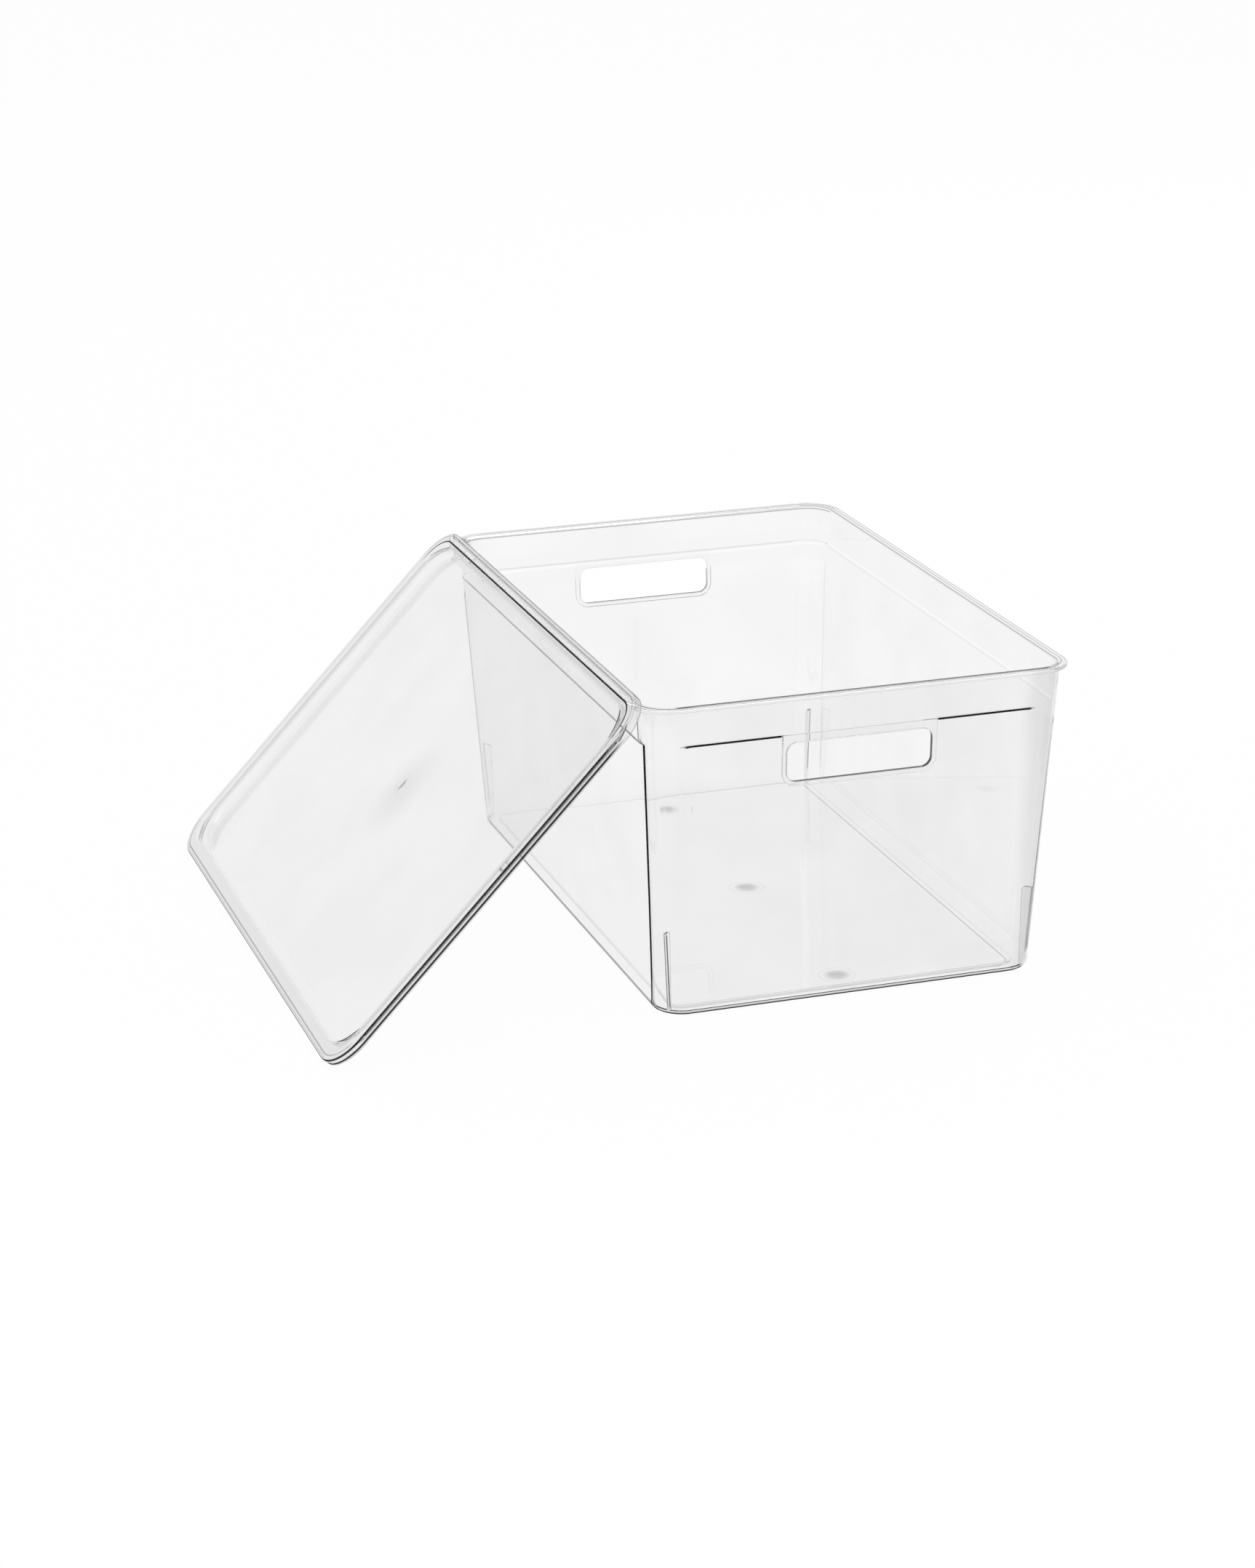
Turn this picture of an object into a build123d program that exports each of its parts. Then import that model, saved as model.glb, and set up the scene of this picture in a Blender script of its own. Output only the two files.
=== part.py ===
# Clear plastic storage box with a separate lid that leans on its left long wall.
# Origin: centre of the box's underside. X across the box, Y along it, Z up.
import os
from math import asin, atan2, cos, hypot, radians, sin, tan

from build123d import *

# Box, outside sizes at the rim
rim_width = 270.0
rim_length = 413.0
box_height = 193.5
wall = 1.9
draft_angle = 3.45
corner_radius = 18.8
base_edge_radius = 3.6
inner_edge_radius = 1.6

# Flange round the rim, which the lid seats on
flange_overhang = 4.2
flange_thickness = 2.0
flange_edge_radius = 0.6

# Panels in the walls: they lean less than the corners, so each ends in a ledge on top
ledge_drop = 24.4
panel_recess = 1.1
panel_foot = 5.0
panel_fade = 8.0

# Floor: a foot round the edge, and a middle that clears the ground
floor_thickness = 2.2
foot_width = 9.8
foot_step = 1.2
foot_corner_radius = 8.0

# Hand holes in the two short walls, each with a raised frame under the ledge
hand_hole_width = 90.0
hand_hole_height = 24.0
hand_hole_radius = 6.0
hand_hole_frame = 2.8
hand_hole_drop = 4.8

# Upright fins in the corners, which keep nested boxes from jamming
fin_height = 50.0
fin_foot_depth = 2.5
fin_top_depth = 5.5
fin_thickness = 1.3
fin_top_radius = 2.6

# Moulding gates under the floor, along the long centre line
gate_spacing = 160.0
gate_diameter = 21.0
gate_button_diameter = 8.0
gate_depth = 0.5

# Lid: a hollow ridge over the rim, and a middle set down into the box
skirt_gap = 0.4
skirt_wall = 1.4
skirt_height = 5.4
ridge_thickness = 2.8
ridge_edge_radius = 1.0
plug_gap = 0.4
plug_depth = 3.6
plug_wall = 1.9
plug_corner_radius = 26.0
plug_edge_radius = 4.6
lid_gate_diameter = 13.0
lid_gate_button_diameter = 5.0

# Lid at rest: its lower edge on the ground, its hollow ridge over the rim
rest_gap = 1.6
lid_shift = 3.0

# How far cutting tools run past what they cut
overrun = 5.0

draft_slope = tan(radians(draft_angle))
ledge_height = box_height - ledge_drop


def half_size(height, inset):
    """Half the width and half the length over the leaning walls at a height."""
    shrink = flange_overhang + draft_slope * (box_height - height) + inset
    return rim_width / 2 - shrink, rim_length / 2 - shrink


def drafted_block(bottom, top, inset, edge_radius):
    """A block with the walls' lean and round corners, set in from their outside."""
    foot_half_width, foot_half_length = half_size(bottom, inset)
    top_half_width, top_half_length = half_size(top, inset)
    with BuildPart() as block:
        with BuildSketch(Plane.XZ):
            with BuildLine():
                Polyline(
                    (-foot_half_width, bottom),
                    (foot_half_width, bottom),
                    (top_half_width, top),
                    (-top_half_width, top),
                    close=True,
                )
            make_face()
        extrude(amount=rim_length, both=True)
        with BuildSketch(Plane.YZ):
            with BuildLine():
                Polyline(
                    (-foot_half_length, bottom),
                    (foot_half_length, bottom),
                    (top_half_length, top),
                    (-top_half_length, top),
                    close=True,
                )
            make_face()
        extrude(amount=rim_width, both=True, mode=Mode.INTERSECT)
        leaning_edges = block.edges().filter_by(Axis.X, reverse=True)
        leaning_edges = leaning_edges.filter_by(Axis.Y, reverse=True)
        fillet(leaning_edges, radius=corner_radius - inset)
        fillet(block.faces().sort_by(Axis.Z)[0].edges(), radius=edge_radius)
    return block.part


def panel_cutter(inset):
    """What the four panels take off the walls, from their foot up to the ledge."""
    foot_half_width, foot_half_length = half_size(panel_foot, inset)
    top_half_width, top_half_length = half_size(ledge_height, inset)
    radius = corner_radius - inset
    with BuildPart() as end_panels:
        # short walls: a wedge between two side planes, which fade it out
        with BuildSketch(Plane.YZ):
            with BuildLine():
                Polyline(
                    (foot_half_length, panel_foot),
                    (top_half_length - panel_recess, ledge_height),
                    (top_half_length + overrun, ledge_height),
                    (top_half_length + overrun, panel_foot),
                    close=True,
                )
            make_face()
        extrude(amount=rim_width / 2, both=True)
        for side in (-1, 1):
            foot = Vector(side * (foot_half_width - radius), foot_half_length, panel_foot)
            top = Vector(side * (top_half_width - radius), top_half_length, ledge_height)
            down = foot - top
            inward = Vector(-side * panel_fade, -panel_recess, 0)
            fade = Plane(origin=top, x_dir=down, z_dir=down.cross(inward) * side)
            split(bisect_by=fade, keep=Keep.TOP)
        mirror(about=Plane.XZ)
    with BuildPart() as long_panels:
        # long walls: a wedge that runs out over the round corners
        with BuildSketch(Plane.XZ):
            with BuildLine():
                Polyline(
                    (foot_half_width, panel_foot),
                    (top_half_width - panel_recess, ledge_height),
                    (top_half_width + overrun, ledge_height),
                    (top_half_width + overrun, panel_foot),
                    close=True,
                )
            make_face()
        extrude(amount=rim_length / 2, both=True)
        mirror(about=Plane.YZ)
    return end_panels.part + long_panels.part


plain_walls = drafted_block(0, box_height, 0, base_edge_radius)
plain_inside = drafted_block(floor_thickness, box_height + overrun, wall, inner_edge_radius)
outer_panels = panel_cutter(0)
inner_panels = panel_cutter(wall)

# Frames of the hand holes, level with the plain band above the ledge
hand_hole_centre = ledge_height - hand_hole_drop - hand_hole_height / 2
frame_bottom = hand_hole_centre - hand_hole_height / 2 - hand_hole_frame
frame_radius = hand_hole_radius + hand_hole_frame
frame_height = ledge_height + frame_radius - frame_bottom
with BuildPart() as hand_hole_frames:
    with BuildSketch(Plane.XZ):
        with Locations((0, frame_bottom + frame_height / 2)):
            RectangleRounded(hand_hole_width + 2 * hand_hole_frame, frame_height, frame_radius)
    extrude(amount=rim_length / 2, both=True)
    add(plain_walls, mode=Mode.INTERSECT)

# The space inside the box, with all that stands in it left out
base_half_width, base_half_length = half_size(0, 0)
middle_width = 2 * (base_half_width - foot_width)
middle_length = 2 * (base_half_length - foot_width)
floor_half_width, floor_half_length = half_size(floor_thickness, wall)
inner_radius = corner_radius - wall
fin_lean = hypot(draft_slope, draft_slope) * fin_height
with BuildPart() as inside:
    add(plain_inside)
    add(inner_panels, mode=Mode.SUBTRACT)
    # the floor's middle, higher than the foot round it
    with BuildSketch(Plane.XY.offset(floor_thickness)):
        RectangleRounded(middle_width, middle_length, foot_corner_radius)
    extrude(amount=foot_step, mode=Mode.SUBTRACT)
    # a fin on each corner's diagonal, deeper at its rounded top
    for side in (-1, 1):
        for end in (-1, 1):
            corner_x = side * (floor_half_width - inner_radius)
            corner_y = end * (floor_half_length - inner_radius)
            diagonal = Plane(
                origin=(corner_x, corner_y, floor_thickness),
                x_dir=(side, end, 0),
                z_dir=(end, -side, 0),
            )
            with BuildSketch(diagonal):
                with BuildLine():
                    FilletPolyline(
                        (inner_radius + fin_lean + overrun, -overrun),
                        (inner_radius - fin_foot_depth, -overrun),
                        (inner_radius + fin_lean - fin_top_depth, fin_height),
                        (inner_radius + fin_lean + overrun, fin_height),
                        radius=fin_top_radius,
                        close=True,
                    )
                make_face()
            extrude(amount=fin_thickness / 2, both=True, mode=Mode.SUBTRACT)

with BuildPart() as box:
    add(plain_walls)
    add(outer_panels, mode=Mode.SUBTRACT)
    add(hand_hole_frames.part)
    with BuildSketch(Plane.XY.offset(box_height - flange_thickness)):
        RectangleRounded(rim_width, rim_length, corner_radius + flange_overhang)
    extrude(amount=flange_thickness)
    fillet(box.faces().sort_by(Axis.Z)[-1].edges(), radius=flange_edge_radius)
    add(inside.part, mode=Mode.SUBTRACT)
    # hand holes
    with BuildSketch(Plane.XZ):
        with Locations((0, hand_hole_centre)):
            RectangleRounded(hand_hole_width, hand_hole_height, hand_hole_radius)
    extrude(amount=rim_length, both=True, mode=Mode.SUBTRACT)
    # the underside's middle clears the ground by the foot's step
    with BuildSketch():
        RectangleRounded(middle_width, middle_length, foot_corner_radius)
    extrude(amount=foot_step, mode=Mode.SUBTRACT)
    # gates: shallow round recesses, each with a button in its middle
    with BuildSketch(Plane.XY.offset(foot_step)):
        with GridLocations(0, gate_spacing, 1, 3):
            Circle(gate_diameter / 2)
            Circle(gate_button_diameter / 2, mode=Mode.SUBTRACT)
    extrude(amount=gate_depth, mode=Mode.SUBTRACT)
box.part.label = "box"

# The lid, laid out on the plane of its skirt's free edge. Its lower edge stands on
# the ground, and the rim's edge lies in the hollow of the ridge, clear of the plug.
lid_margin = skirt_gap + skirt_wall
lid_width = rim_width + 2 * lid_margin
lid_length = rim_length + 2 * lid_margin
lid_corner_radius = corner_radius + flange_overhang + lid_margin
plug_inset = lid_margin + flange_overhang + wall + plug_gap
plug_width = lid_width - 2 * plug_inset
plug_length = lid_length - 2 * plug_inset
panel_top = plug_wall - plug_depth
hollow_depth = skirt_height - ridge_thickness

rim_along = lid_width - plug_inset + flange_thickness
rim_above = hollow_depth - rest_gap
lean = asin(box_height / hypot(rim_along, rim_above)) - atan2(rim_above, rim_along)
lower_edge = -rim_width / 2 - rim_along * cos(lean) + rim_above * sin(lean)
lid_plane = Plane(
    origin=(
        lower_edge + lid_width / 2 * cos(lean),
        -lid_shift,
        lid_width / 2 * sin(lean),
    ),
    x_dir=(cos(lean), 0, sin(lean)),
    z_dir=(-sin(lean), 0, cos(lean)),
)
lid_axis = Axis(lid_plane.origin, lid_plane.z_dir)

# The space over the lid's middle, with a rounded foot
with BuildPart() as lid_well:
    with BuildSketch(lid_plane.offset(panel_top)):
        RectangleRounded(
            plug_width - 2 * plug_wall, plug_length - 2 * plug_wall, plug_corner_radius - plug_wall
        )
    extrude(amount=skirt_height - panel_top + overrun)
    well_floor = lid_well.faces().sort_by(lid_axis)[0]
    fillet(well_floor.edges(), radius=plug_edge_radius - plug_wall)

with BuildPart() as lid:
    with BuildSketch(lid_plane):
        RectangleRounded(lid_width, lid_length, lid_corner_radius)
    extrude(amount=skirt_height)
    fillet(lid.faces().sort_by(lid_axis)[-1].edges(), radius=ridge_edge_radius)
    # the ridge is hollow from below
    with BuildSketch(lid_plane):
        RectangleRounded(
            lid_width - 2 * skirt_wall, lid_length - 2 * skirt_wall, lid_corner_radius - skirt_wall
        )
    extrude(amount=hollow_depth, mode=Mode.SUBTRACT)
    # the plug drops inside the rim
    with BuildSketch(lid_plane.offset(-plug_depth)):
        RectangleRounded(plug_width, plug_length, plug_corner_radius)
    extrude(amount=plug_depth + hollow_depth)
    fillet(lid.faces().sort_by(lid_axis)[0].edges(), radius=plug_edge_radius)
    add(lid_well.part, mode=Mode.SUBTRACT)
    ridge_top = lid.faces().sort_by(lid_axis)[-1]
    fillet(ridge_top.inner_wires().edges(), radius=ridge_edge_radius)
    # gate in the middle of the underside
    with BuildSketch(lid_plane.offset(-plug_depth)):
        Circle(lid_gate_diameter / 2)
        Circle(lid_gate_button_diameter / 2, mode=Mode.SUBTRACT)
    extrude(amount=gate_depth, mode=Mode.SUBTRACT)
lid.part.label = "lid"

os.makedirs("parts", exist_ok=True)
export_step(box.part, "parts/box.step")
export_step(lid.part, "parts/lid.step")
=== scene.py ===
from math import asin, atan2, cos, hypot, radians, sin, tan

import bmesh
import bpy
from mathutils import Euler, Matrix, Vector

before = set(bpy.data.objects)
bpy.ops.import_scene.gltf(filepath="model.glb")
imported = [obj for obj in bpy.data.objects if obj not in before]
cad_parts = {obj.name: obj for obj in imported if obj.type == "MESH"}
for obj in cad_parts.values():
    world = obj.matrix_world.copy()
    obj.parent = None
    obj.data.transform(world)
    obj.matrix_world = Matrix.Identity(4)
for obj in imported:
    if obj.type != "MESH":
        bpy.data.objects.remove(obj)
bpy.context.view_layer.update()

MM = 0.001
WHITE = (1.0, 1.0, 1.0, 1.0)
scene = bpy.context.scene
scene.view_settings.view_transform = "Standard"

# Sizes of the box, which its painted dark and light lines follow
RIM_WIDTH, RIM_LENGTH, BOX_HEIGHT = 270 * MM, 413 * MM, 193.5 * MM
CORNER_RADIUS, FLANGE, SLOPE = 18.8 * MM, 4.2 * MM, tan(radians(3.45))
LEDGE, PANEL_FOOT, PANEL_RECESS = 169.1 * MM, 5 * MM, 1.1 * MM
HOLE_FRAME_HALF, FIN_TOP = 48 * MM, 51 * MM
FOOT_BEND_IN, FOOT_BEND_ABOVE = 3.55 * MM, 3.7 * MM
FOOT_STEP_WIDTH, FOOT_STEP_LENGTH = 214.8 * MM, 361.6 * MM
FOOT_STEP_RADIUS, FOOT_STEP_SHIFT = 8 * MM, 1.9 * MM
GATE_SPACING, GATE_SHIFT = 160 * MM, 5 * MM

# Sizes of the lid, which its painted dark and light lines follow
LID_WIDTH, LID_LENGTH, LID_RADIUS = 273.6 * MM, 416.6 * MM, 24.8 * MM
LID_SHIFT, PLUG_INSET, RIM_ABOVE = 3 * MM, 8.3 * MM, 1 * MM
PLUG_BEND_IN, PLUG_BEND_ABOVE = 12.9 * MM, 1 * MM
UNDER_RIDGE, ON_RIDGE, UNDER_MIDDLE = 2.8 * MM, 5.2 * MM, -2.7 * MM
RIM_ALONG = LID_WIDTH - PLUG_INSET + 2 * MM
LEAN = asin(BOX_HEIGHT / hypot(RIM_ALONG, RIM_ABOVE)) - atan2(RIM_ABOVE, RIM_ALONG)

# The tone of light that goes straight through the plastic
PLAIN_TONE = 0.97


def node(tree, kind, at=(0, 0), **inputs):
    """Adds a node to a tree and sets its inputs by name."""
    made = tree.nodes.new(kind)
    made.location = at
    for name, value in inputs.items():
        made.inputs[name.replace("_", " ")].default_value = value
    return made


def mix_shaders(tree, share, first, second, at):
    """Mixes two shaders: the first where the share is 0, the second where it is 1."""
    mix = node(tree, "ShaderNodeMixShader", at)
    tree.links.new(share, mix.inputs[0])
    tree.links.new(first.outputs[0], mix.inputs[1])
    tree.links.new(second.outputs[0], mix.inputs[2])
    return mix


def grey_from(tree, value, at):
    """A grey colour that is as light as a value."""
    grey = node(tree, "ShaderNodeCombineColor", at)
    for channel in range(3):
        tree.links.new(value, grey.inputs[channel])
    return grey.outputs[0]


class Sums:
    """Writes sums as math nodes. Sockets and plain numbers both go in, but the levels
    and soft widths of a step are plain numbers."""

    def __init__(self, tree):
        self.tree = tree

    def math(self, operation, *terms):
        made = self.tree.nodes.new("ShaderNodeMath")
        made.operation = operation
        for slot, term in enumerate(terms):
            if isinstance(term, (int, float)):
                made.inputs[slot].default_value = term
            else:
                self.tree.links.new(term, made.inputs[slot])
        return made.outputs[0]

    def add(self, a, b):
        return self.math("ADD", a, b)

    def sub(self, a, b):
        return self.math("SUBTRACT", a, b)

    def div(self, a, b):
        return self.math("DIVIDE", a, b)

    def mul(self, first, *others):
        for other in others:
            first = self.math("MULTIPLY", first, other)
        return first

    def top(self, first, *others):
        for other in others:
            first = self.math("MAXIMUM", first, other)
        return first

    def low(self, a, b):
        return self.math("MINIMUM", a, b)

    def size(self, a):
        return self.math("ABSOLUTE", a)

    def length(self, a, b):
        return self.math("SQRT", self.add(self.mul(a, a), self.mul(b, b)))

    def ramp(self, value, first, last, start=0.0, end=1.0):
        """Goes smoothly from start to end while the value goes, up or down, from first to last."""
        made = self.tree.nodes.new("ShaderNodeMapRange")
        made.interpolation_type = "SMOOTHSTEP"
        self.tree.links.new(value, made.inputs["Value"])
        made.inputs["From Min"].default_value = first
        made.inputs["From Max"].default_value = last
        made.inputs["To Min"].default_value = start
        made.inputs["To Max"].default_value = end
        return made.outputs["Result"]

    def above(self, value, level, soft):
        """1 above a level and 0 below it, with a soft step that far to both sides."""
        return self.ramp(value, level - soft, level + soft)

    def below(self, value, level, soft):
        """1 below a level and 0 above it, with a soft step that far to both sides."""
        return self.ramp(value, level + soft, level - soft)

    def blend(self, share, first, second):
        """The first number where the share is 0, the second where it is 1."""
        return self.ramp(share, 0.0, 1.0, first, second)

    def strip(self, value, middle, half, soft=0.3 * MM):
        """1 within half a width of the middle, falling to 0 over its soft edges."""
        return self.below(self.size(self.sub(value, middle)), half, soft)

    def inside(self, x, y, half_x, half_y, radius):
        """How far a point lies inside a rectangle with round corners."""
        over_x = self.sub(self.size(x), self.sub(half_x, radius))
        over_y = self.sub(self.size(y), self.sub(half_y, radius))
        far = self.length(self.top(over_x, 0.0), self.top(over_y, 0.0))
        near = self.low(self.top(over_x, over_y), 0.0)
        return self.sub(radius, self.add(far, near))

    def from_bend(self, inwards, bend_in, height, bend_above):
        """How far out a point lies from the middle of a round edge, 0 past its two ends."""
        out = self.low(self.sub(inwards, bend_in), 0.0)
        down = self.low(self.sub(height, bend_above), 0.0)
        return self.length(out, down)


def photo_camera():
    """The camera as the photograph has it, fitted to the box's edges."""
    azimuth, elevation, roll = -17.891, 18.826, -0.660
    distance, aside, above = 2405.07 * MM, -73.389 * MM, 67.597 * MM
    turn = Euler((radians(90 - elevation), 0, radians(azimuth)), "XYZ").to_matrix()
    right, up, back = turn.col[0], turn.col[1], turn.col[2]
    data = bpy.data.cameras.new("photo_camera")
    data.sensor_fit = "HORIZONTAL"
    data.sensor_width = 36.0
    data.lens = 107.86
    data.clip_end = 50.0
    camera = bpy.data.objects.new("photo_camera", data)
    scene.collection.objects.link(camera)
    camera.matrix_world = (
        Matrix.Translation(back * distance + right * aside + up * above)
        @ turn.to_4x4()
        @ Matrix.Rotation(radians(roll), 4, "Z")
    )
    scene.camera = camera


def seen_ray(tree, sums):
    """1 for rays that show a picture: from the camera, off gloss and through plastic."""
    rays = node(tree, "ShaderNodeLightPath", (-600, 200))
    return sums.top(
        rays.outputs["Is Camera Ray"],
        rays.outputs["Is Glossy Ray"],
        rays.outputs["Is Transmission Ray"],
    )


def studio_world():
    """White where it is seen, greyer overhead for the plastic's edges; softer as a light."""
    grey_from_height, grey_to_height, overhead = 0.45, 0.75, 0.2
    world = bpy.data.worlds.new("studio")
    scene.world = world
    world.use_nodes = True
    tree = world.node_tree
    tree.nodes.clear()
    link = tree.links.new
    sums = Sums(tree)
    aim = node(tree, "ShaderNodeTexCoord", (-900, -100))
    split = node(tree, "ShaderNodeSeparateXYZ", (-700, -100))
    link(aim.outputs["Generated"], split.inputs[0])
    ceiling = sums.ramp(split.outputs["Z"], grey_from_height, grey_to_height, 1.0, overhead)
    seen = node(tree, "ShaderNodeBackground", (200, 100), Color=WHITE)
    link(ceiling, seen.inputs["Strength"])
    light = node(tree, "ShaderNodeBackground", (200, -100), Color=WHITE, Strength=0.75)
    mix = mix_shaders(tree, seen_ray(tree, sums), light, seen, (400, 0))
    out = node(tree, "ShaderNodeOutputWorld", (600, 0))
    link(mix.outputs[0], out.inputs[0])


def floor_paper():
    """White paper: mostly evenly bright where it is seen, with its soft shadows kept."""
    even_share = 0.95
    mat = bpy.data.materials.new("floor_paper")
    mat.use_nodes = True
    tree = mat.node_tree
    tree.nodes.clear()
    sums = Sums(tree)
    paper = node(tree, "ShaderNodeBsdfDiffuse", (0, 100), Color=(0.93, 0.93, 0.93, 1))
    glow = node(tree, "ShaderNodeEmission", (0, -100), Color=WHITE, Strength=1.0)
    share = sums.mul(seen_ray(tree, sums), even_share)
    mix = mix_shaders(tree, share, paper, glow, (400, 0))
    out = node(tree, "ShaderNodeOutputMaterial", (600, 0))
    tree.links.new(mix.outputs[0], out.inputs[0])
    return mat


def studio_floor():
    """A wide sheet of paper, just under what stands on it."""
    gap = 0.2 * MM
    bm = bmesh.new()
    bmesh.ops.create_grid(bm, x_segments=1, y_segments=1, size=12.0)
    bmesh.ops.translate(bm, verts=bm.verts, vec=(0, 0, -gap))
    mesh = bpy.data.meshes.new("floor")
    bm.to_mesh(mesh)
    bm.free()
    mesh.materials.append(floor_paper())
    floor = bpy.data.objects.new("floor", mesh)
    scene.collection.objects.link(floor)


def softbox(name, at, target, size, power):
    """A square soft lamp, aimed at a point."""
    data = bpy.data.lights.new(name, "AREA")
    data.shape = "SQUARE"
    data.size = size
    data.energy = power
    lamp = bpy.data.objects.new(name, data)
    scene.collection.objects.link(lamp)
    lamp.location = at
    aim = Vector(target) - Vector(at)
    lamp.rotation_euler = aim.to_track_quat("-Z", "Y").to_euler()


def clear_plastic(name, tint, density, lines):
    """Clear moulded plastic: bends light, darkens with depth and has faint clouds in it.

    lines gives, from the place on the solid, how much of the light goes straight
    through, the tone it then gets, and how much the plastic is shaded there. The tones
    are painted shade and painted highlights in thin lines, and the shading is painted
    light and shade."""
    mat = bpy.data.materials.new(name)
    mat.use_nodes = True
    tree = mat.node_tree
    tree.nodes.clear()
    link = tree.links.new
    sums = Sums(tree)
    place = node(tree, "ShaderNodeTexCoord", (-1400, 0)).outputs["Object"]
    split = node(tree, "ShaderNodeSeparateXYZ", (-1200, 0))
    link(place, split.inputs[0])
    straight, tone, shading = lines(sums, *split.outputs)

    # clouds: faint and soft, some centimetres wide
    clear_at, cloudy_at, cloud_depth = 0.35, 0.68, 0.03
    cloud = node(tree, "ShaderNodeTexNoise", (-900, 300), Scale=16.0, Detail=2.0)
    link(place, cloud.inputs["Vector"])
    clouds = sums.ramp(cloud.outputs[0], clear_at, cloudy_at, tint, tint - cloud_depth)
    # the tint carries the real clouds and the painted light and shade from the lines
    clouds_and_painted_shade = grey_from(tree, sums.mul(clouds, shading), (-200, 200))

    # edges: rounded a little, and painted darker where the rounding turns them: a painted shade
    # line along each sharp edge, standing in for the dark lines the plastic's bending of light
    # draws there
    flat_at, turned_at, edge_shade_tone = 0.985, 0.80, 0.25
    round_edge = node(tree, "ShaderNodeBevel", (-600, -100), Radius=0.7 * MM)
    round_edge.samples = 4
    shape = node(tree, "ShaderNodeNewGeometry", (-600, -200))
    same = node(tree, "ShaderNodeVectorMath", (-400, 0))
    same.operation = "DOT_PRODUCT"
    link(round_edge.outputs[0], same.inputs[0])
    link(shape.outputs["Normal"], same.inputs[1])
    paint = node(tree, "ShaderNodeMix", (0, 0))
    paint.data_type = "RGBA"
    factor, plain_colour, edge_shade_colour = paint.inputs[0], paint.inputs[6], paint.inputs[7]
    link(sums.ramp(same.outputs["Value"], flat_at, turned_at), factor)
    link(clouds_and_painted_shade, plain_colour)
    edge_shade_colour.default_value = (edge_shade_tone, edge_shade_tone, edge_shade_tone, 1)

    body = node(tree, "ShaderNodeBsdfPrincipled", (300, 100), Roughness=0.02, IOR=1.5)
    body.inputs["Transmission Weight"].default_value = 1.0
    link(round_edge.outputs[0], body.inputs["Normal"])
    link(paint.outputs[2], body.inputs["Base Color"])

    # lines: light that goes straight through, in their tone; the tones are painted shade in dark
    # lines and painted highlights in light ones, standing in for the light the plastic bends
    through = node(tree, "ShaderNodeBsdfTransparent", (300, -100))
    link(grey_from(tree, tone, (100, -100)), through.inputs[0])
    lined = mix_shaders(tree, straight, body, through, (500, 100))

    # the lamps' light goes through and leaves a soft shadow
    let_light = node(tree, "ShaderNodeBsdfTransparent", (300, -200), Color=(0.87, 0.87, 0.87, 1))
    rays = node(tree, "ShaderNodeLightPath", (300, 300))
    mix = mix_shaders(tree, rays.outputs["Is Shadow Ray"], lined, let_light, (700, 0))
    out = node(tree, "ShaderNodeOutputMaterial", (900, 0))
    link(mix.outputs[0], out.inputs["Surface"])
    depth = node(tree, "ShaderNodeVolumeAbsorption", (600, -300), Color=(0, 0, 0, 1))
    depth.inputs["Density"].default_value = density
    link(depth.outputs[0], out.inputs["Volume"])
    return mat


def lay_lines(sums, tone, lines):
    """Joins lines. Each has its place, how much light it lets straight through and how
    much darker it makes that light."""
    straight = sums.top(*[sums.mul(place, share) for place, share, darker in lines if share])
    for place, share, darker in lines:
        if darker:
            tone = sums.sub(tone, sums.mul(place, darker))
    return straight, sums.top(tone, 0.0)


class BoxPlace:
    """Where a point lies on the box: on which side, how high and how far in from outside."""

    def __init__(self, sums, x, y, z):
        self.x, self.y, self.z = x, y, z
        self.drop = sums.mul(sums.sub(BOX_HEIGHT, z), SLOPE)
        half_x = sums.sub(RIM_WIDTH / 2 - FLANGE, self.drop)
        half_y = sums.sub(RIM_LENGTH / 2 - FLANGE, self.drop)
        self.wall_in = sums.inside(x, y, half_x, half_y, CORNER_RADIUS)
        self.rim_in = sums.inside(x, y, RIM_WIDTH / 2, RIM_LENGTH / 2, CORNER_RADIUS + FLANGE)
        self.below_rim = sums.below(z, BOX_HEIGHT - 0.65 * MM, 0.15 * MM)

        # the wall's two faces, told apart at a depth between its recess and its thickness
        self.outer = sums.below(self.wall_in, 1.4 * MM, 0.2 * MM)
        self.inner = sums.sub(1.0, self.outer)

        # the sides: the photograph shows the far ones from inside, the near ones from outside
        self.left = sums.below(x, -112 * MM, 2 * MM)
        self.front = sums.below(y, -192 * MM, 2 * MM)
        self.rear = sums.above(y, 184 * MM, 2 * MM)
        self.right = sums.mul(sums.above(x, 112 * MM, 2 * MM), sums.above(y, -193 * MM, 3 * MM))
        self.far = sums.top(self.right, self.rear)
        self.near = sums.sub(1.0, self.far)


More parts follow.
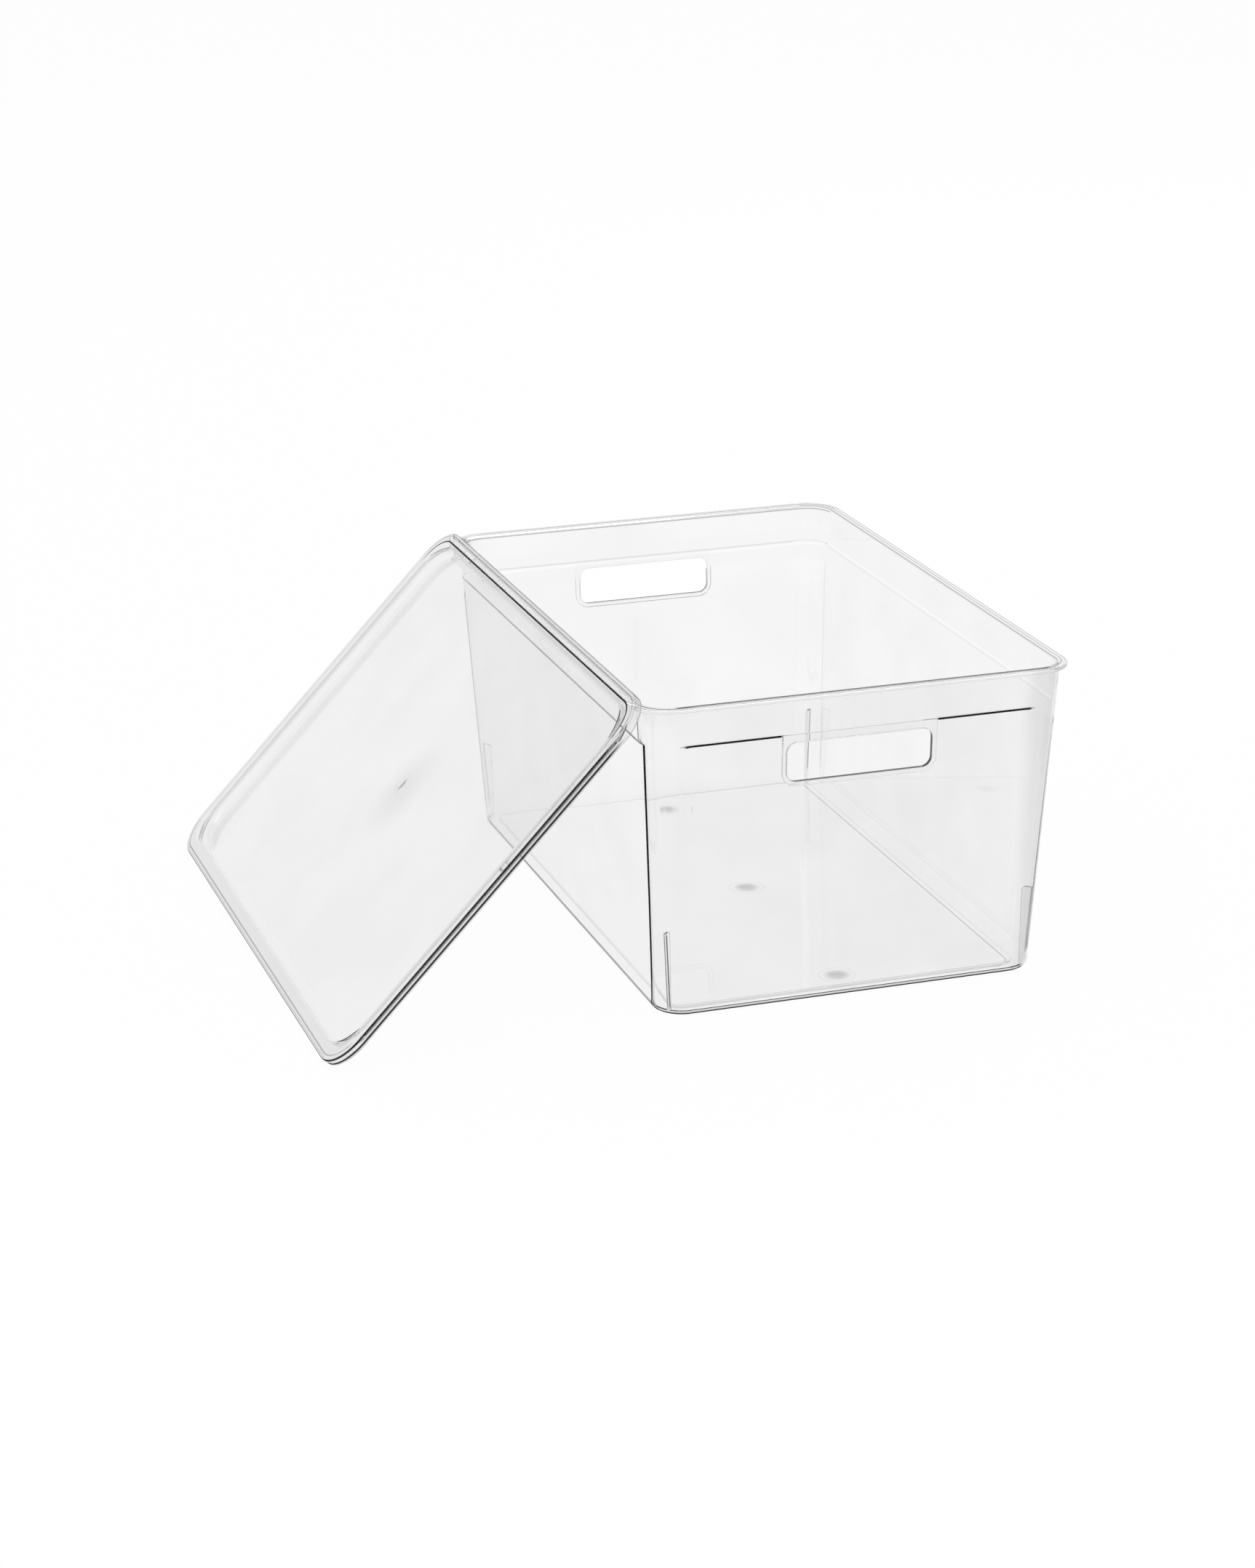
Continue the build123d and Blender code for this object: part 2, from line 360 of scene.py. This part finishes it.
def ledge_lines(sums, at):
    """Painted shade and highlights at the ledge, set by side: a dark painted shade line in
    front but for the hand hole's frame, a thin one on the left, and on the far sides a
    painted highlight with a grey painted shade line. Gives the lines, and the
    highlight's place on both faces."""
    across = sums.size(at.x)
    beside_frame = sums.above(across, HOLE_FRAME_HALF, 1 * MM)
    before_corner = sums.below(across, 107.5 * MM, 1.5 * MM)
    # painted shade: dark lines at the ledge on the near sides
    front_strip = sums.mul(at.front, at.outer, sums.strip(at.z, LEDGE, 0.9 * MM))
    front_ledge_shade = sums.mul(front_strip, beside_frame, before_corner)
    left_strip = sums.mul(at.left, at.outer, sums.strip(at.z, LEDGE, 0.45 * MM))
    left_ledge_shade = sums.mul(left_strip, sums.above(at.y, -181 * MM, 2 * MM))

    # the painted highlight lies over the painted grey shade line on the right, and under it at the
    # rear
    highlight_at = sums.blend(at.rear, LEDGE + 0.2 * MM, LEDGE - 1.5 * MM)
    shade_line_at = sums.blend(at.rear, LEDGE - 1.2 * MM, LEDGE + 0.2 * MM)
    ledge_highlight = sums.mul(at.far, at.inner, sums.strip(at.z, highlight_at, 0.75 * MM))
    ledge_shade_line = sums.mul(at.far, at.inner, sums.strip(at.z, shade_line_at, 0.4 * MM))
    behind_highlight = sums.strip(at.z, sums.sub(highlight_at, 0.8 * MM), 1.0 * MM)
    lines = [
        (front_ledge_shade, 1.0, 0.95),
        (left_ledge_shade, 0.85, 0.65),
        (ledge_highlight, 1.0, 0),
        (ledge_shade_line, 0.7, 0.12),
    ]
    return lines, sums.top(ledge_highlight, behind_highlight)


def rim_lines(sums, at):
    """Painted shade lines on the rim: one on top over the wall's outside, and more at the
    right and the rear, with a painted highlight at the rear. Gives the lines, and the
    highlight's place."""
    on_top = sums.above(at.z, BOX_HEIGHT - 0.25 * MM, 0.05 * MM)
    near_corner = sums.mul(
        sums.below(at.x, -102 * MM, 6 * MM), sums.below(at.y, -189 * MM, 5 * MM)
    )
    behind_lid = sums.mul(at.left, sums.above(at.y, -189 * MM, 5 * MM))
    stronger = sums.add(sums.mul(near_corner, 1.5), sums.mul(at.rear, 0.9))
    strength = sums.sub(sums.add(stronger, 1.0), sums.mul(behind_lid, 0.7))
    top_shade_line = sums.mul(on_top, sums.strip(at.rim_in, 3.7 * MM, 0.5 * MM), strength)

    inner_edge = sums.mul(
        sums.above(at.z, BOX_HEIGHT - 1.1 * MM, 0.2 * MM),
        sums.below(at.rim_in, 7.05 * MM, 0.45 * MM),
    )
    right_inner = sums.mul(at.right, at.inner, inner_edge)
    right_outer = sums.mul(at.right, on_top, sums.strip(at.rim_in, 1.5 * MM, 0.5 * MM))
    rear_inner = sums.mul(at.rear, at.inner)
    rear_below = sums.mul(rear_inner, sums.strip(at.z, BOX_HEIGHT - 2.4 * MM, 0.45 * MM))
    rear_highlight = sums.mul(rear_inner, sums.above(at.z, BOX_HEIGHT - 1.65 * MM, 0.15 * MM))
    lines = [
        (top_shade_line, 0.85, 0.35),
        (right_inner, 0.85, 0.3),
        (right_outer, 0.85, 0.3),
        (rear_below, 0.85, 0.5),
        (rear_highlight, 0.8, 0),
    ]
    return lines, rear_highlight


def corner_lines(sums, at):
    """Left front corner: painted shade lines where the side panel ends, and along the fin's root.
    """
    rise = PANEL_RECESS / (LEDGE - PANEL_FOOT)
    recess = sums.mul(sums.top(sums.sub(at.z, PANEL_FOOT), 0.0), rise)
    squared = sums.sub(sums.mul(recess, 2 * CORNER_RADIUS), sums.mul(recess, recess))
    corner_middle = RIM_LENGTH / 2 - FLANGE - CORNER_RADIUS
    panel_end = sums.sub(sums.add(sums.math("SQRT", squared), corner_middle), at.drop)
    crease = sums.strip(sums.add(at.y, panel_end), 0.0, 1.1 * MM, 0.4 * MM)
    crease = sums.mul(crease, at.left, at.outer, sums.below(at.z, LEDGE, 0.5 * MM))

    # the fin stands on the line that halves the corner
    halving = sums.strip(sums.sub(at.x, at.y), (RIM_LENGTH - RIM_WIDTH) / 2, 1.1 * MM, 0.1 * MM)
    root = sums.strip(at.wall_in, 2.8 * MM, 0.6 * MM, 0.2 * MM)
    upright = sums.mul(sums.above(at.z, 4 * MM, 1 * MM), sums.below(at.z, FIN_TOP, 0.5 * MM))
    in_corner = sums.mul(sums.below(at.x, -94 * MM, 4 * MM), sums.below(at.y, -166 * MM, 4 * MM))
    fin = sums.mul(root, halving, upright, in_corner)
    return [(crease, 0.95, 0.9), (fin, 0.95, 0.9)]


def foot_lines(sums, at):
    """Painted shadow along the foot's outer edge at the near sides, where it meets the floor,
    and faint painted shade along its inner edge. Gives the lines, and the place of the
    foot's round outside."""
    from_bend = sums.from_bend(at.wall_in, FOOT_BEND_IN, at.z, FOOT_BEND_ABOVE)
    low_down = sums.below(at.z, 8 * MM, 1 * MM)
    foot_skin = sums.mul(sums.above(from_bend, 2.6 * MM, 0.2 * MM), low_down)
    # painted shadow: dark where the foot meets the floor on the near sides
    outer_edge = sums.mul(
        sums.below(at.z, 2.55 * MM, 0.25 * MM), sums.below(at.wall_in, 3.1 * MM, 0.3 * MM)
    )
    foot_shade_band = sums.mul(foot_skin, at.near, outer_edge)
    line = sums.mul(foot_shade_band, sums.below(at.z, 1.8 * MM, 0.2 * MM))

    # underside: lies on what the box stands on and bends nothing
    underside = sums.below(at.z, 1.975 * MM, 0.075 * MM)
    under = sums.mul(underside, sums.above(at.wall_in, 2.9 * MM, 0.3 * MM))
    step_in = sums.inside(
        sums.add(at.x, FOOT_STEP_SHIFT),
        at.y,
        FOOT_STEP_WIDTH / 2,
        FOOT_STEP_LENGTH / 2,
        FOOT_STEP_RADIUS,
    )
    # painted shade: a faint line along the foot's step, darker on the right
    strength = sums.ramp(at.x, 90 * MM, 100 * MM, 0.24, 0.42)
    step = sums.mul(sums.strip(step_in, 0.0, 0.45 * MM), underside, strength)

    # gates: three soft grey spots, each with a faint ring
    along = sums.add(at.y, GATE_SHIFT)
    nearest = sums.mul(sums.math("ROUND", sums.div(along, GATE_SPACING)), GATE_SPACING)
    from_gate = sums.length(at.x, sums.sub(along, nearest))
    gate = sums.mul(sums.below(from_gate, 6.5 * MM, 3.5 * MM), under)
    gate_ring = sums.mul(sums.strip(from_gate, 11 * MM, 0.8 * MM, 0.6 * MM), under)
    lines = [
        (foot_shade_band, 1.0, 0.3),
        (line, 0, 0.62),
        (under, 1.0, 0),
        (step, 0, 1.0),
        (gate, 0, 0.36),
        (gate_ring, 0, 0.06),
    ]
    return lines, foot_skin


def leaving_light(sums, at, foot_skin):
    """Where light leaves by a wall's second face, so that none is caught in its corners."""
    at_ledge = sums.mul(sums.above(at.z, 157 * MM, 3 * MM), sums.below(at.z, 177 * MM, 3 * MM))
    at_right_rim = sums.mul(at.right, sums.above(at.z, 183.5 * MM, 3.5 * MM), at.below_rim)
    far_skin = sums.top(sums.mul(at.outer, sums.top(at_ledge, at_right_rim)), foot_skin)
    left_rim = sums.mul(at.left, at.inner, sums.above(at.z, 183 * MM, 3 * MM), at.below_rim)
    return [(sums.mul(far_skin, at.far), 1.0, 0), (left_rim, 0.9, 0)]


def box_lines(sums, x, y, z):
    """The box's ledges, rim, left front corner, foot and gates."""
    at = BoxPlace(sums, x, y, z)
    ledges, ledge_highlight = ledge_lines(sums, at)
    rim, rim_highlight = rim_lines(sums, at)
    foot, foot_skin = foot_lines(sums, at)
    lines = ledges + rim + corner_lines(sums, at) + foot + leaving_light(sums, at, foot_skin)
    # painted highlights: the tone goes to full white on the ledge's and rim's light lines
    tone = sums.blend(sums.top(ledge_highlight, rim_highlight), PLAIN_TONE, 1.0)
    straight, tone = lay_lines(sums, tone, lines)

    # painted light and shade: a little lighter on the left, a little darker at the right front
    # corner
    right_front_shade = sums.mul(sums.above(x, 106 * MM, 6 * MM), sums.below(y, -181 * MM, 6 * MM))
    shading = sums.sub(sums.mul(at.left, 0.015), sums.mul(right_front_shade, 0.12))
    return straight, tone, sums.add(shading, 1.0)


def lid_place(sums, x, y, z):
    """A point's place on the lid: across it from its middle, along it, and out of it."""
    across = Vector((cos(LEAN), 0, sin(LEAN)))
    out = Vector((-sin(LEAN), 0, cos(LEAN)))
    lower_edge = -RIM_WIDTH / 2 - RIM_ALONG * cos(LEAN) + RIM_ABOVE * sin(LEAN)
    middle = Vector((lower_edge, 0, 0)) + across * (LID_WIDTH / 2)
    u = sums.sub(sums.add(sums.mul(x, across.x), sums.mul(z, across.z)), middle.dot(across))
    v = sums.add(y, LID_SHIFT)
    w = sums.sub(sums.add(sums.mul(x, out.x), sums.mul(z, out.z)), middle.dot(out))
    return u, v, w


def lid_lines(sums, x, y, z):
    """The lid's skirt, ridge, plug wall and gate, with painted shade lines and painted shade on
    the ridge.
    """
    u, v, w = lid_place(sums, x, y, z)
    edge_in = sums.inside(u, v, LID_WIDTH / 2, LID_LENGTH / 2, LID_RADIUS)
    upper_side = sums.above(u, 109 * MM, 9 * MM)
    lower_side = sums.below(u, -117 * MM, 3 * MM)
    far_side = sums.top(upper_side, sums.above(v, 187.5 * MM, 7.5 * MM))
    near_side = sums.sub(1.0, far_side)

    # underside along the edge: bends nothing, so that no light is caught in the plug's wall
    from_bend = sums.from_bend(edge_in, PLUG_BEND_IN, w, PLUG_BEND_ABOVE)
    under = sums.mul(
        sums.above(from_bend, 3.65 * MM, 0.15 * MM),
        sums.below(w, UNDER_RIDGE, 0.1 * MM),
        sums.above(edge_in, 1.1 * MM, 0.1 * MM),
        sums.below(edge_in, 15.1 * MM, 0.7 * MM),
    )

    # skirt: a painted shade line near its free edge and another under its top edge, on the near
    # sides only
    skirt = sums.below(edge_in, 0.6 * MM, 0.1 * MM)
    free_edge = sums.strip(w, 1.6 * MM, 0.7 * MM, 0.25 * MM)
    top_edge = sums.strip(w, 4.75 * MM, 0.65 * MM, 0.25 * MM)
    skirt_shade_lines = sums.mul(sums.top(free_edge, top_edge), skirt, near_side)
    skirt_through = sums.mul(skirt, sums.blend(far_side, 0.7, 1.0))

    # ridge: painted shade lines: a dark one on top over the box's rim, fainter ones nearer the
    # edge
    on_ridge = sums.above(w, ON_RIDGE, 0.1 * MM)
    upper_ridge = sums.mul(on_ridge, upper_side)
    ridge_shade_line = sums.mul(upper_ridge, sums.strip(edge_in, 6.9 * MM, 0.6 * MM))
    upper_line = sums.mul(upper_ridge, sums.strip(edge_in, 2.5 * MM, 0.5 * MM))
    lower_line = sums.mul(on_ridge, lower_side, sums.strip(edge_in, 3.4 * MM, 0.5 * MM))

    # gate: a small dark dash, with a soft grey cloud round it
    round_gate = sums.below(sums.length(u, v), 9.5 * MM, 1.5 * MM)
    gate = sums.mul(round_gate, sums.below(w, UNDER_MIDDLE, 0.1 * MM))
    dash_in = sums.length(sums.div(u, 5 * MM), sums.div(v, 1.8 * MM))
    gate_dash = sums.mul(gate, sums.below(dash_in, 0.8, 0.5))
    from_cloud = sums.length(sums.add(sums.mul(u, 0.8), 3 * MM), sums.add(v, 6 * MM))
    gate_cloud = sums.below(from_cloud, 18 * MM, 16 * MM)

    lines = [
        (under, 1.0, 0),
        (skirt_shade_lines, 1.0, 0.92),
        (skirt_through, 1.0, 0),
        (ridge_shade_line, 1.0, 0.92),
        (upper_line, 0.8, 0.35),
        (lower_line, 0.8, 0.45),
        (gate, 1.0, 0),
        (gate_dash, 0, 0.45),
        (sums.mul(gate, gate_cloud), 0, 0.08),
    ]
    straight, tone = lay_lines(sums, PLAIN_TONE, lines)

    # painted shade darker on the ridge, most on its lower side; and darker round the gate
    ridge = sums.mul(sums.above(w, 5.15 * MM, 0.15 * MM), sums.below(edge_in, 9.0 * MM, 0.4 * MM))
    ridge_shade = sums.mul(ridge, sums.add(sums.mul(lower_side, 0.08), 0.09))
    shade = sums.add(ridge_shade, sums.mul(gate_cloud, 0.11))
    return straight, tone, sums.sub(0.97, shade)


photo_camera()
studio_world()
studio_floor()
softbox("key_softbox", (-1.2, -1.6, 2.2), (0, 0, 0.05), size=1.6, power=22)
softbox("back_softbox", (1.4, 1.8, 2.0), (0, 0, 0.05), size=1.8, power=14)

box_plastic = clear_plastic("box_plastic", tint=0.985, density=20.0, lines=box_lines)
lid_plastic = clear_plastic("lid_plastic", tint=0.985, density=34.0, lines=lid_lines)
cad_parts["box"].material_slots[0].material = box_plastic
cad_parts["lid"].material_slots[0].material = lid_plastic
